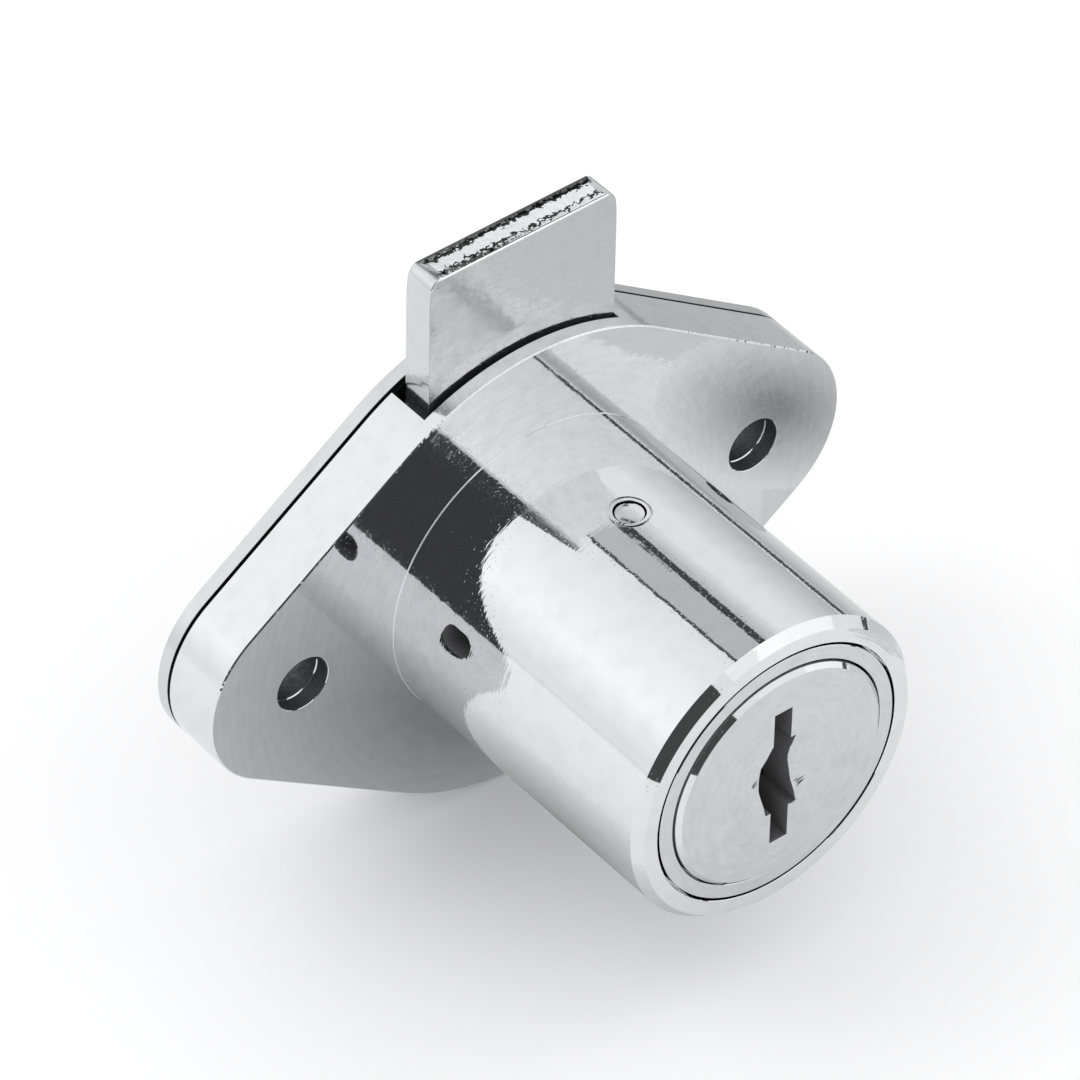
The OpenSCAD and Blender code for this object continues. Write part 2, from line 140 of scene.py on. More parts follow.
class BodySizes(bpy.types.PropertyGroup):
    barrel_radius: length("Barrel radius", "Outer radius of the barrel", 9.5)
    root_fillet: length("Root fillet", "Radius between the barrel and the flange", 0.06)
    edge_bevel: length("Edge bevel", "Bevel round the flange's outer edges", 0.08)
    seam_gap: length("Seam", "Width of the dark seam between the flange and the back plate", 0.22)
    seam_depth: length("Seam depth", "Depth of the seam between the flange and the back plate", 0.35)
    screw_hole: length("Screw hole", "Diameter of the two screw holes", 3.4)
    ear_radius: length("Ear radius", "Radius of the ears round the screw holes", 6.1)


class PlugSizes(bpy.types.PropertyGroup):
    radius: length("Plug radius", "Radius of the plug", 7.0)
    bevel: length("Plug bevel", "Bevel round the plug's face", 0.25)
    dish: length("Dish", "Diameter of the shallow dish round the keyhole", 4.0)
    slot_width: length("Keyway width", "Width of the keyway's narrow ends", 1.2)
    slot_height: length("Keyway height", "Height of the whole keyway", 9.3)
    middle_height: length("Keyway middle", "Height of the keyway's broad middle", 4.9)
    ring_seam: length("Ring seam", "Width of the fine seam between the front ring and the barrel", 0.15)


class BoltSizes(bpy.types.PropertyGroup):
    corner: length("Corner radius", "Radius of the bolt's upper corners", 0.95)
    front_edge: length("Front edge round", "Rounding of the bolt's upper front edge", 0.12)
    rear_edge: length("Rear edge round", "Rounding of the bolt's upper rear edge", 0.15)
    front_land: length("Front land", "Depth of the sloping land along the bolt's upper front edge", 0.36)
    rear_land: length("Rear land", "Depth of the sloping land along the bolt's upper rear edge", 0.62)
    side_edge: length("Side edge round", "Rounding of the bolt's upright edges", 0.12)
    front_gap: length("Front gap", "Running clearance in front of the bolt", 0.27)


class Finishes(bpy.types.PropertyGroup):
    nickel: colour("Nickel", "Bright nickel of the barrel and the edges", "#DEDFE1")
    satin: colour("Satin nickel", "Turned or brushed nickel of the flat faces", "#D9DADC")
    # The sheared end's colour is whiter than any nickel: a painted highlight for the bright band across the
    # bolt's end.
    sheared: colour("Sheared end", "Nickel over the bolt's sheared end", "#FAFBFC")
    tumbled: colour("Tumbled nickel", "Barrel-plated nickel of the bolt", "#D0D1D3")
    # The holes' grey is partly thin nickel on rough casting and partly painted shade deep in the screw
    # holes.
    casting: colour("Casting", "Thin nickel on the rough walls of the holes, darkened as painted shade", "#7C7D7F")
    # The seam's colour is nearly black: painted shade in the narrow seam between the flange and the back
    # plate.
    seam_shade_tone: colour("Seam shade", "Painted shade on the walls of the seam between the flange and the back plate", "#3C3C3E")
    # The zinc's grey is partly unplated metal and partly painted shade deep in the slots, the keyway and
    # the channel.
    zinc: colour("Raw zinc", "Unplated walls of the slots, the keyway and the bolt's channel, with painted shade", "#737375")
    brass: colour("Brass", "Stamped brass of the wafers", "#A88F5C")
    steel: colour("Steel", "Bright steel of the pins and rivets", "#D8D8D7")
    spring: colour("Spring steel", "Drawn spring wire", "#9A9B9C")


class Studio(bpy.types.PropertyGroup):
    floor: colour("Floor", "Plain pale floor", "#FAFAFB")
    lens: bpy.props.FloatProperty(
        name="Lens", description="Focal length in millimetres on a 36 mm sensor", default=292.37, min=10.0
    )


def only(*pieces):
    """Select these pieces and nothing else, in object mode."""
    if bpy.context.mode != "OBJECT":
        bpy.ops.object.mode_set(mode="OBJECT")
    bpy.ops.object.select_all(action="DESELECT")
    for piece in pieces:
        piece.select_set(True)
    if pieces:
        bpy.context.view_layer.objects.active = pieces[0]


def settle(name):
    """Name the primitive just added and put its place into its mesh."""
    piece = bpy.context.object
    piece.name = name
    piece.data.name = name
    bpy.ops.object.transform_apply(location=True, rotation=True, scale=True)
    return piece


def pick(piece, kind, test):
    """Select the vertices, edges or faces of a piece in edit mode that a test accepts."""
    if bpy.context.mode != "EDIT_MESH":
        only(piece)
        bpy.ops.object.mode_set(mode="EDIT")
    bpy.ops.mesh.select_mode(type={"verts": "VERT", "edges": "EDGE", "faces": "FACE"}[kind])
    bpy.ops.mesh.select_all(action="DESELECT")
    mesh = bmesh.from_edit_mesh(piece.data)
    found = 0
    for part in getattr(mesh, kind):
        if test(part):
            part.select_set(True)
            found += 1
    if not found:
        raise RuntimeError(f"{piece.name}: nothing was found to select among its {kind}")
    bmesh.update_edit_mesh(piece.data)


def middle(face):
    """The middle of a face, in mm."""
    return face.calc_center_median() / MM


def face_outwards():
    """Turn every face of the piece in edit mode outwards, and leave edit mode."""
    bpy.ops.mesh.select_all(action="SELECT")
    bpy.ops.mesh.normals_make_consistent(inside=False)
    bpy.ops.object.mode_set(mode="OBJECT")


def turned(name, profile, x=0.0, y=0.0, z=0.0, axis="Y", steps=ROUND, tube=False):
    """Turn a solid, or a tube, through (radius, height) points in mm about an axis along Y or Z."""
    along = Vector((0, 1, 0)) if axis == "Y" else Vector((0, 0, 1))
    across = Vector((1, 1, 1)) - along
    foot = Vector((x, y, z))
    radius, height = profile[0]
    only()
    bpy.ops.mesh.primitive_circle_add(
        vertices=steps,
        radius=radius * MM,
        fill_type="NGON",
        location=(foot + along * height) * MM,
        rotation=(math.radians(90), 0, 0) if axis == "Y" else (0, 0, 0),
    )
    piece = settle(name)
    bpy.ops.object.mode_set(mode="EDIT")
    bpy.ops.mesh.select_mode(type="FACE")
    bpy.ops.mesh.select_all(action="SELECT")
    for next_radius, next_height in profile[1:]:
        step = along * (next_height - height) * MM
        bpy.ops.mesh.extrude_region_move(TRANSFORM_OT_translate={"value": step})
        ratio = next_radius / radius
        bpy.ops.transform.resize(
            value=along + across * ratio, center_override=(foot + along * next_height) * MM
        )
        radius, height = next_radius, next_height
    if tube:
        pick(piece, "faces", lambda face: len(face.verts) == steps)
        bpy.ops.mesh.delete(type="ONLY_FACE")
        pick(piece, "edges", lambda edge: edge.is_boundary)
        bpy.ops.mesh.bridge_edge_loops()
    face_outwards()
    return piece


def block(name, low, high):
    """A box between two corners in mm."""
    low, high = Vector(low), Vector(high)
    only()
    bpy.ops.mesh.primitive_cube_add(size=1, location=(low + high) / 2 * MM, scale=(high - low) * MM)
    return settle(name)


def prism(name, outline, low, high):
    """A straight bar along Y between two depths, whose section has these (x, z) corners in mm."""
    only()
    bpy.ops.mesh.primitive_circle_add(
        vertices=len(outline),
        radius=MM,
        fill_type="NGON",
        location=(0, low * MM, 0),
        rotation=(math.radians(90), 0, 0),
    )
    piece = settle(name)
    starts = [vertex.co.copy() for vertex in piece.data.vertices]
    for i, (x, z) in enumerate(outline):
        pick(piece, "verts", lambda vertex: vertex.index == i)
        bpy.ops.transform.translate(value=Vector((x, low, z)) * MM - starts[i])
    bpy.ops.mesh.select_mode(type="FACE")
    bpy.ops.mesh.select_all(action="SELECT")
    bpy.ops.mesh.extrude_region_move(TRANSFORM_OT_translate={"value": (0, (high - low) * MM, 0)})
    face_outwards()
    return piece


def combine(piece, operation, *tools):
    """Unite a piece with tools, or keep what they share, or cut them from it, one after the other."""
    for tool in tools:
        only(piece)
        bpy.ops.object.modifier_add(type="BOOLEAN")
        boolean = piece.modifiers[-1]
        boolean.operation = operation
        boolean.solver = "EXACT"
        boolean.object = tool
        bpy.ops.object.modifier_apply(modifier=boolean.name)
        only(tool)
        bpy.ops.object.delete()
    if not piece.data.polygons:
        raise RuntimeError(f"{piece.name}: nothing is left after {operation}")
    return piece


def cut(piece, *tools):
    """Cut tools from a piece, one after the other."""
    combine(piece, "DIFFERENCE", *tools)


def bevel(piece, width, segments, test):
    """Round the edges that a test accepts, or cut them flat where there is one segment."""
    pick(piece, "edges", test)
    bpy.ops.mesh.bevel(
        offset=width * MM, segments=segments, profile=0.5, affect="EDGES", clamp_overlap=True
    )
    bpy.ops.object.mode_set(mode="OBJECT")


def in_plane(axis, place, level=None):
    """A test for edges in the plane across an axis at a place in mm, and level on another axis if given."""

    def test(edge):
        start, end = (vertex.co / MM for vertex in edge.verts)
        if level is not None and abs(start[level] - end[level]) >= LEVEL:
            return False
        return all(abs(point[axis] - place) < NEAR for point in (start, end))

    return test


def outfit(piece, material, body, slot, *nodes):
    """Close and smooth a finished piece, give it its material, and let it stand for its CAD nodes."""
    pick(piece, "verts", lambda vertex: True)
    bpy.ops.mesh.remove_doubles(threshold=WELD * MM)
    only(piece)
    bpy.ops.object.shade_smooth_by_angle(angle=SMOOTH_ANGLE)
    bpy.ops.object.modifier_add(type="WEIGHTED_NORMAL")
    piece.modifiers[-1].keep_sharp = True
    bpy.ops.object.modifier_apply(modifier=piece.modifiers[-1].name)
    piece.data.materials.clear()
    piece.data.materials.append(material)
    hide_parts(*nodes)
    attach(piece, body)
    only()


def second_finish(piece, material, test):
    """Give the faces that a test accepts another material than the rest of the piece."""
    piece.data.materials.append(material)
    pick(piece, "faces", test)
    piece.active_material_index = len(piece.data.materials) - 1
    bpy.ops.object.material_slot_assign()
    only()


def add_node(tree, kind, sockets, **settings):
    """Add a shader node with its settings. Each socket gets a value, or a link from a socket or a node."""
    node = tree.nodes.new("ShaderNode" + kind)
    for name, value in settings.items():
        setattr(node, name, value)
    for name, value in sockets.items():
        if isinstance(value, bpy.types.Node):
            value = value.outputs[0]
        if isinstance(value, bpy.types.NodeSocket):
            tree.links.new(value, node.inputs[name])
        else:
            node.inputs[name].default_value = value
    return node


def new_material(name):
    """An empty node material, its tree and its Object coordinates."""
    material = bpy.data.materials.new(name)
    material.use_nodes = True
    tree = material.node_tree
    tree.nodes.clear()
    place = add_node(tree, "TexCoord", {}).outputs["Object"]
    return material, tree, place


def close_material(tree, shader):
    """Link the finished shader to the output."""
    add_node(tree, "OutputMaterial", {"Surface": shader})


def bright_nickel(
    name,
    base,
    rough_low,
    rough_high,
    wave=0.004,
    ripple=0.8,
    turning=0.003,
    pitch=0.2,
    streak=0.0,
    specks=0.002,
    scuffs_and_shade=(),
    tears_and_dark_reflections=(),
):
    """Nickel plating over a polished or turned surface.

    The eye sees nearly a mirror: faintly wavy reflections whose edges are ragged with fine specks, and fine
    circular turning marks. Depths, the width of the waves and the pitch of the marks are in mm. Streaks are
    marks that differ in brightness. Scuffed spots are (x, z, radius) in mm, darkened with scratches; they
    mark where a key has scraped the face, and they also paint shade, as at the edge of the plug's dish.
    Tear lines are (y, half width) lines in mm along x, dark and ragged: partly metal that shearing has
    torn, partly a painted dark reflection.
    """
    material, tree, place = new_material(name)
    marks_per_radian, speck_width, patch_width, tear_step, tear_sway = 5.0, 0.15, 1.2, 0.25, 0.9
    scratch_angle, scratch_size = math.radians(-24), Vector((0.6, 1.0, 0.08)) * MM
    # Turning marks round the barrel's axis. Those of the barrel lie 0.1 mm apart, drawn at 0.2 mm to show.
    flat = add_node(tree, "VectorMath", {0: place, 1: (1, 0, 1)}, operation="MULTIPLY")
    reach = add_node(tree, "VectorMath", {0: flat}, operation="LENGTH").outputs["Value"]
    spoke = add_node(tree, "VectorMath", {0: flat}, operation="NORMALIZE")
    around = add_node(tree, "VectorMath", {0: spoke, "Scale": marks_per_radian}, operation="SCALE")
    depth = add_node(tree, "SeparateXYZ", {0: place}).outputs["Y"]
    run = add_node(tree, "Math", {0: reach, 1: depth}, operation="SUBTRACT")
    run = add_node(tree, "Math", {0: run, 1: 1 / (pitch * MM)}, operation="MULTIPLY")
    along = add_node(tree, "CombineXYZ", {"Y": run})
    track = add_node(tree, "VectorMath", {0: around, 1: along}, operation="ADD")
    marks = add_node(tree, "TexNoise", {"Vector": track, "Scale": 1.0, "Detail": 2.0})
    # Polishing leaves waves about 0.8 mm wide, shearing and trimming less than half of that.
    waves = add_node(tree, "TexNoise", {"Vector": place, "Scale": 1 / (ripple * MM), "Detail": 1.0})
    # Specks of 0.08 mm in the plating, drawn almost twice as wide so that they show.
    grains = add_node(tree, "TexNoise", {"Vector": place, "Scale": 1 / (speck_width * MM), "Detail": 1.0})
    dots = add_node(tree, "MapRange", {"Value": grains, "From Min": 0.66, "From Max": 0.76})
    # Patches that are a little duller and darker than the rest.
    mottle = add_node(tree, "TexNoise", {"Vector": place, "Scale": 1 / (patch_width * MM), "Detail": 5.0})
    patches = add_node(tree, "MapRange", {"Value": mottle, "From Min": 0.45, "From Max": 0.75})
    roughness = add_node(tree, "MapRange", {"Value": patches, "To Min": rough_low, "To Max": rough_high})
    bands = add_node(tree, "MapRange", {"Value": marks, "From Min": 0.35, "From Max": 0.65})
    shade = add_node(tree, "Math", {0: bands, 1: streak}, operation="MULTIPLY")
    shade = add_node(tree, "Math", {0: patches, 1: 0.3, 2: shade}, operation="MULTIPLY_ADD")
    darker = [0.8 * c for c in base]
    ends = {6: (*base, 1.0), 7: (*darker, 1.0)}
    tint = add_node(tree, "Mix", {0: shade, **ends}, data_type="RGBA").outputs[2]
    # A key's scratches lie side by side, 0.08 mm wide and 0.6 mm long.
    lie = {"Vector": place, "Rotation": (0, scratch_angle, 0), "Scale": scratch_size}
    lie = add_node(tree, "Mapping", lie, vector_type="TEXTURE")
    scratches = add_node(tree, "TexNoise", {"Vector": lie, "Scale": 1.0, "Detail": 1.0})
    for x, z, radius in scuffs_and_shade:
        gap = add_node(tree, "VectorMath", {0: flat, 1: (x * MM, 0, z * MM)}, operation="DISTANCE")
        span = {"Value": gap.outputs["Value"], "From Min": 0.2 * radius * MM, "From Max": radius * MM}
        close = add_node(tree, "MapRange", {**span, "To Min": 0.5, "To Max": 0.0})
        dark = add_node(tree, "Math", {0: scratches, 1: close}, operation="ADD")
        dark = add_node(tree, "MapRange", {"Value": dark, "From Min": 0.92, "From Max": 1.02})
        tint = add_node(tree, "Mix", {0: dark, 6: tint, 7: SCRAPED_AND_SHADED}, data_type="RGBA").outputs[2]
    # The dark tear lines, which are partly painted reflection, wander by about 0.2 mm to either side, in
    # steps of a quarter of a millimetre.
    noise = add_node(tree, "TexNoise", {"Vector": place, "Scale": 1 / (tear_step * MM), "Detail": 1.0})
    wander = add_node(tree, "Math", {0: noise, 1: tear_sway * MM, 2: depth}, operation="MULTIPLY_ADD")
    for y, half in tears_and_dark_reflections:
        gap = add_node(tree, "Math", {0: wander, 1: (y + tear_sway / 2) * MM}, operation="SUBTRACT")
        gap = add_node(tree, "Math", {0: gap}, operation="ABSOLUTE")
        span = {"Value": gap, "From Min": 0.8 * half * MM, "From Max": half * MM}
        dark = add_node(tree, "MapRange", {**span, "To Min": 1.0, "To Max": 0.0})
        tint = add_node(tree, "Mix", {0: dark, 6: tint, 7: TORN_AND_DARK_REFLECTION}, data_type="RGBA").outputs[2]
    bump = None
    for height, rise in ((waves, wave), (marks, turning), (dots, specks)):
        under = {} if bump is None else {"Normal": bump}
        bump = add_node(tree, "Bump", {"Height": height, "Strength": 1.0, "Distance": rise * MM, **under})
    look = {"Base Color": tint, "Metallic": 1.0, "Roughness": roughness, "Normal": bump}
    close_material(tree, add_node(tree, "BsdfPrincipled", look))
    return material


def plain_metal(name, base, grain, rough, depth, metallic=1.0):
    """Drawn, stamped or unplated metal with a fine grain, whose width and depth are in mm.

    The eye sees a soft sheen with faint scratches and slightly uneven gloss.
    """
    material, tree, place = new_material(name)
    grains = add_node(tree, "TexNoise", {"Vector": place, "Scale": 1 / (grain * MM), "Detail": 4.0})
    darker = [0.75 * c for c in base]
    ends = {6: (*base, 1.0), 7: (*darker, 1.0)}
    tint = add_node(tree, "Mix", {0: grains, **ends}, data_type="RGBA").outputs[2]
    span = {"Value": grains, "From Min": 0.3, "From Max": 0.7}
    roughness = add_node(tree, "MapRange", {**span, "To Min": rough, "To Max": 1.5 * rough})
    bump = add_node(tree, "Bump", {"Height": grains, "Strength": 1.0, "Distance": depth * MM})
    look = {"Base Color": tint, "Metallic": metallic, "Roughness": roughness, "Normal": bump}
    close_material(tree, add_node(tree, "BsdfPrincipled", look))
    return material


def flange_blank(name, outer, seam, sizes):
    """Half of the flange's thickness, from its outer face to the seam, with a smaller step at the seam.

    The outline is a round middle and two round ears with straight sides between them.
    """
    ear_r = sizes.ear_radius / MM
    ear_x = BODY_HIGH.x - ear_r
    step = math.copysign(sizes.seam_gap / MM / 2, seam - outer)
    shoulder = seam - step
    discs = []
    for x, radius in ((0.0, BODY_HIGH.z), (ear_x, ear_r), (-ear_x, ear_r)):
        only()
        bpy.ops.mesh.primitive_cylinder_add(
            vertices=ROUND,
            radius=radius * MM,
            depth=abs(shoulder - outer) * MM,
            location=(x * MM, (outer + shoulder) / 2 * MM, 0),
            rotation=(math.radians(90), 0, 0),
        )
        discs.append(settle(name))
    only(*discs)
    bpy.ops.object.join()
    blank = bpy.context.object
    bpy.ops.object.mode_set(mode="EDIT")
    bpy.ops.mesh.select_all(action="SELECT")
    bpy.ops.mesh.convex_hull()
    bpy.ops.mesh.select_all(action="SELECT")
    bpy.ops.mesh.dissolve_limited(angle_limit=math.radians(0.1))
    face_outwards()
    flat = in_plane(1, shoulder)
    bevel(blank, sizes.edge_bevel / MM, 1, in_plane(1, outer))
    bevel(blank, SEAM_EDGE, 2, flat)
    pick(blank, "faces", lambda face: len(face.verts) > ROUND / 2 and all(map(flat, face.edges)))
    bpy.ops.mesh.inset(thickness=sizes.seam_depth)
    bpy.ops.mesh.extrude_region_move(TRANSFORM_OT_translate={"value": (0, step * MM, 0)})
    bpy.ops.object.mode_set(mode="OBJECT")
    return blank


def screw_hole_tools(sizes):
    """Tools for the screw holes, with the fine ring that the die's two core pins leave where they meet."""
    radius = sizes.screw_hole / 2 / MM
    ear_x = BODY_HIGH.x - sizes.ear_radius / MM
    mouth, ring_y, ring_size = 0.03, 1.0, 0.05
    profile = [
        (radius + mouth + OVER, -OVER),
        (radius, mouth),
        (radius, ring_y - ring_size),
        (radius + ring_size, ring_y),
        (radius, ring_y + ring_size),
        (radius, PLATE_HIGH.y + OVER),
    ]
    return [turned("screw_hole", profile, x=side * ear_x, steps=SMALL_ROUND) for side in (-1, 1)]


def pressed_block(inset, low, high):
    """A block with cut corners between two depths, inset from the outline of the plate's pressed pad."""
    half_width, pad_foot, pad_head, corner = 5.2, -9.5, 11.0, 1.0
    x, foot, head = half_width - inset, pad_foot + inset, pad_head - inset
    outline = [
        (x, foot + corner),
        (x, head - corner),
        (x - corner, head),
        (corner - x, head),
        (-x, head - corner),
        (-x, foot + corner),
        (corner - x, foot),
        (x - corner, foot),
    ]
    return prism("pressed_pad", outline, low, high)


class LOCK_OT_body(bpy.types.Operator):
    """Model the cast body: flange, barrel, bolt channel and bore"""

    bl_idname = "lock.body"
    bl_label = "Lock body"

    def execute(self, context):
        sizes = context.scene.lock_body_sizes
        finish = context.scene.lock_finishes
        radius = sizes.barrel_radius / MM
        fillet = sizes.root_fillet / MM
        front = BODY_LOW.y
        body = flange_blank("lock_body_shell", 0.0, BODY_HIGH.y, sizes)
        root = [
            (radius + fillet * (1 - math.cos(a)), fillet * (math.sin(a) - 1))
            for a in (math.radians(d) for d in (68, 45, 22, 0))
        ]
        foot_r, foot_low, foot_high = radius + 1.3 * fillet, 0.01, 0.5
        bevel_length, bevel_depth = 0.6, 0.45
        barrel = turned(
            "barrel",
            [
                (foot_r, foot_high),
                (foot_r, foot_low),
                *root,
                (radius, front + bevel_length),
                (radius - bevel_depth, front),
            ],
        )
        combine(body, "UNION", barrel)
        seat, bore, bore_end, rim = RING_HIGH.x, PLUG_HIGH.x + 0.05, 2.0, 0.03
        steps = [
            (seat + rim, front - OVER),
            (seat + rim, front),
            (seat, front + rim),
            (seat, RING_HIGH.y),
            (bore, RING_HIGH.y),
            (bore, bore_end),
        ]
        cut(body, turned("bore", steps))
        # The bolt's channel with its guides, its wider mouth and the well for the drive pin.
        wall = BOLT_LOW.y - context.scene.lock_bolt_sizes.front_gap / MM
        back = BODY_HIGH.y + OVER
        top = BODY_HIGH.z + OVER
        well = DRIVE_HIGH.z + OVER
        travel = DRIVE_HIGH.z + DRIVE_LOW.z
        side = BOLT_HIGH.x
        guide_gap, mouth_gap, mouth_depth, well_gap, foot_gap = 0.15, 0.5, 2.5, 0.7, 0.5
        for left_gap, right_gap, low, high in (
            (guide_gap, guide_gap, BOLT_LOW.z - travel - foot_gap, top),
            (mouth_gap, guide_gap, BODY_HIGH.z - mouth_depth, top),
            (well_gap, well_gap, -well, well),
        ):
            cut(body, block("channel", (-side - left_gap, wall, low), (side + right_gap, back, high)))
        # The grooves above the bore and to its right, which the lifted wafers enter.
        half, start, end, groove_r = 2.7, -19.7, -9.65, 8.0
        above, right = ((-half, start, 0), (half, end, BEYOND)), ((0, start, -half), (BEYOND, end, half))
        for low, high in (above, right):
            groove = turned("wafer_groove", [(groove_r, end), (groove_r, start)])
            combine(groove, "INTERSECT", block("wafer_groove_sides", low, high))
            cut(body, groove)
        cut(body, *screw_hole_tools(sizes))
        # The stop pin's hole, and the fine groove round the metal that was staked over it.
        at_pin = {"y": STOP_Y, "axis": "Z", "steps": SMALL_ROUND}
        pin_r, inner, outer, hole_foot, foot, head = 0.92, 1.1, 1.23, 5.0, 9.2, 11.0
        hole = turned("stop_pin_hole", [(pin_r, hole_foot), (pin_r, head)], **at_pin)
        staked = [(inner, foot), (inner, head), (outer, head), (outer, foot)]
        cut(body, hole, turned("staked_groove", staked, tube=True, **at_pin))
        # Release slot in the barrel's left side: a round end pulled out along the barrel.
        angle = math.radians(162)
        slot_x, slot_z = math.cos(angle), math.sin(angle)
        slot_r, slot_y, pull, slot_middle, slot_length = 0.7, -4.45, 0.8, 10.5, 9
        only()
        bpy.ops.mesh.primitive_cylinder_add(
            vertices=SMALL_ROUND,
            radius=slot_r * MM,
            depth=slot_length * MM,
            location=Vector((slot_middle * slot_x, slot_y, slot_middle * slot_z)) * MM,
            rotation=(0, math.radians(90) - angle, 0),
        )
        slot = settle("release_slot")
        pick(slot, "verts", lambda vertex: vertex.co.y / MM < slot_y - LEVEL)
        bpy.ops.transform.translate(value=(0, -pull * MM, 0))
        cut(body, slot)
        nickel = bright_nickel("Bright nickel on die-cast zinc", finish.nickel, 0.03, 0.06)
        outfit(body, nickel, "body", "body_nickel", "lock_body")

        ear_x = BODY_HIGH.x - sizes.ear_radius / MM
        screw_r = sizes.screw_hole / 2 / MM
        seam = BODY_HIGH.y - sizes.seam_gap / MM / 2
        # The flange's straight sides pass nearer to the axis than its round middle does.
        flange_r = BODY_HIGH.z - 1.5

        def on_face(face):
            return face.normal.y < -0.99 and middle(face).y > -NEAR

        def on_side(face):
            place = middle(face)
            return abs(face.normal.y) < 0.1 and 0 < place.y < seam and place.xz.length > flange_r

        def in_seam(face):
            return middle(face).y > seam - NEAR

        def on_edge(face):
            return -0.9 < face.normal.y < -0.3 and 0 < middle(face).y < 0.1

        def in_hole(face):
            place = middle(face)
            round_hole = math.hypot(abs(place.x) - ear_x, place.z) < screw_r + 0.05
            return round_hole and place.y > 0.08 and abs(face.normal.y) < 0.5

        def in_slot(face):
            place = middle(face)
            out = place.x * slot_x + place.z * slot_z
            across = place.z * slot_x - place.x * slot_z
            along = place.y - slot_y + pull / 2
            near = slot_r + 0.05
            return abs(along) < near + pull / 2 and abs(across) < near and bore + 0.15 < out < radius - 0.06

        def in_channel(face):
            place = middle(face)
            inside = abs(place.x) < side + well_gap + NEAR and wall - NEAR < place.y < BODY_HIGH.y - NEAR
            return inside and (abs(face.normal.x) > 0.9 and abs(place.x) > side or face.normal.y > 0.9)

        turned_face = bright_nickel(
            "Turned nickel of the flange's face",
            finish.satin,
            0.04,
            0.07,
            turning=0.001,
            pitch=0.3,
            streak=0.25,
        )
        tumbled = bright_nickel(
            "Tumbled nickel of the flange's side",
            finish.nickel,
            0.16,
            0.24,
            wave=0.01,
            turning=0.0,
            specks=0.006,
        )
        trimmed = bright_nickel(
            "Nickel over the flange's trimmed edge",
            finish.nickel,
            0.05,
            0.12,
            wave=0.03,
            ripple=0.3,
            turning=0.0,
        )
        # Raw zinc scatters light, so the slot and the channel show grey and not black. The zinc's grey is
        # also kept dark as painted shade deep in the slots, the keyway and the channel.
        for material, test in (
            (turned_face, on_face),
            (tumbled, on_side),
            # Painted shade: the walls of the seam are coloured nearly black.
            (plain_metal("Dull zinc inside the seam", finish.seam_shade_tone, *AS_CAST), in_seam),
            (trimmed, on_edge),
            # Partly thin nickel on rough casting, partly painted shade on the screw holes' walls.
            (plain_metal("Thin nickel on rough casting", finish.casting, 0.25, 0.45, 0.01), in_hole),
            (plain_metal("Raw zinc in the release slot", finish.zinc, *AS_CAST, RAW), in_slot),
            (plain_metal("Raw zinc in the bolt's channel", finish.zinc, *AS_CAST, RAW), in_channel),
        ):
            second_finish(body, material, test)
        return {"FINISHED"}


class LOCK_OT_plate(bpy.types.Operator):
    """Model the back plate and its four rivets"""

    bl_idname = "lock.plate"
    bl_label = "Back plate and rivets"

    def execute(self, context):
        sizes = context.scene.lock_body_sizes
        finish = context.scene.lock_finishes
        plate = flange_blank("back_plate_shell", PLATE_HIGH.y, BODY_HIGH.y, sizes)
        # The pad pressed forward behind the bolt, and the hollow that pressing leaves on the outer side.
        rise, hollow_inset, press_round = BODY_HIGH.y - PLATE_LOW.y, 0.5, 0.15
        pad = pressed_block(0.0, PLATE_LOW.y, BODY_HIGH.y + rise)
        bevel(pad, press_round, 2, in_plane(1, PLATE_LOW.y))
        combine(plate, "UNION", pad)
        hollow = pressed_block(hollow_inset, PLATE_HIGH.y - rise, PLATE_HIGH.y + OVER)
        bevel(hollow, press_round, 2, in_plane(1, PLATE_HIGH.y - rise))
        cut(plate, hollow, *screw_hole_tools(sizes))
        # One rivet with its domed head, and three copies of it.
        shank_r, tip, head_r = 0.8, 0.1, 1.4
        head_rise = RIVET_HIGH.y - PLATE_HIGH.y
        dome_r = (head_r * head_r + head_rise * head_rise) / (2 * head_rise)
        angles = [math.asin(head_r / dome_r) * share for share in (1.0, 0.85, 0.68, 0.5, 0.3, 0.1)]
        dome = [(dome_r * math.sin(a), RIVET_HIGH.y - dome_r + dome_r * math.cos(a)) for a in angles]
        shank = [(shank_r - tip, RIVET_LOW.y), (shank_r, RIVET_LOW.y + tip), (shank_r, PLATE_HIGH.y)]
        x, z = RIVET_HIGH.x - head_r, RIVET_HIGH.z - head_r
        rivets = [turned("plate_rivet_heads", shank + dome, x=x, z=z, steps=SMALL_ROUND)]
        for dx, dz in ((-2 * x, 0), (0, -2 * z), (-2 * x, -2 * z)):
            only(rivets[0])
            bpy.ops.object.duplicate(linked=False)
            copy = bpy.context.object
            copy.location = Vector((dx, 0, dz)) * MM
            bpy.ops.object.transform_apply(location=True, rotation=False, scale=False)
            rivets.append(copy)
        through = [(shank_r, BODY_HIGH.y - OVER), (shank_r, PLATE_HIGH.y + OVER)]
        for hole_x, hole_z in ((-x, -z), (-x, z), (x, -z), (x, z)):
            cut(plate, turned("rivet_hole", through, x=hole_x, z=hole_z, steps=SMALL_ROUND))
        only(*rivets)
        bpy.ops.object.join()
        rolled = bright_nickel(
            "Bright nickel on rolled steel", finish.tumbled, 0.16, 0.26, wave=0.01, turning=0.0
        )
        outfit(plate, rolled, "body", "plate_steel", "back_plate")
        seam = BODY_HIGH.y + sizes.seam_gap / MM / 2
        # Painted shade: the walls of the seam are coloured nearly black.
        seam_shade = plain_metal("Dull steel inside the seam", finish.seam_shade_tone, *AS_CAST)
        second_finish(plate, seam_shade, lambda face: middle(face).y < seam + NEAR)
        headed = plain_metal("Headed steel rivet", finish.steel, 0.2, 0.2, 0.002)
        outfit(rivets[0], headed, "body", "plate_steel", "plate_rivets")
        return {"FINISHED"}


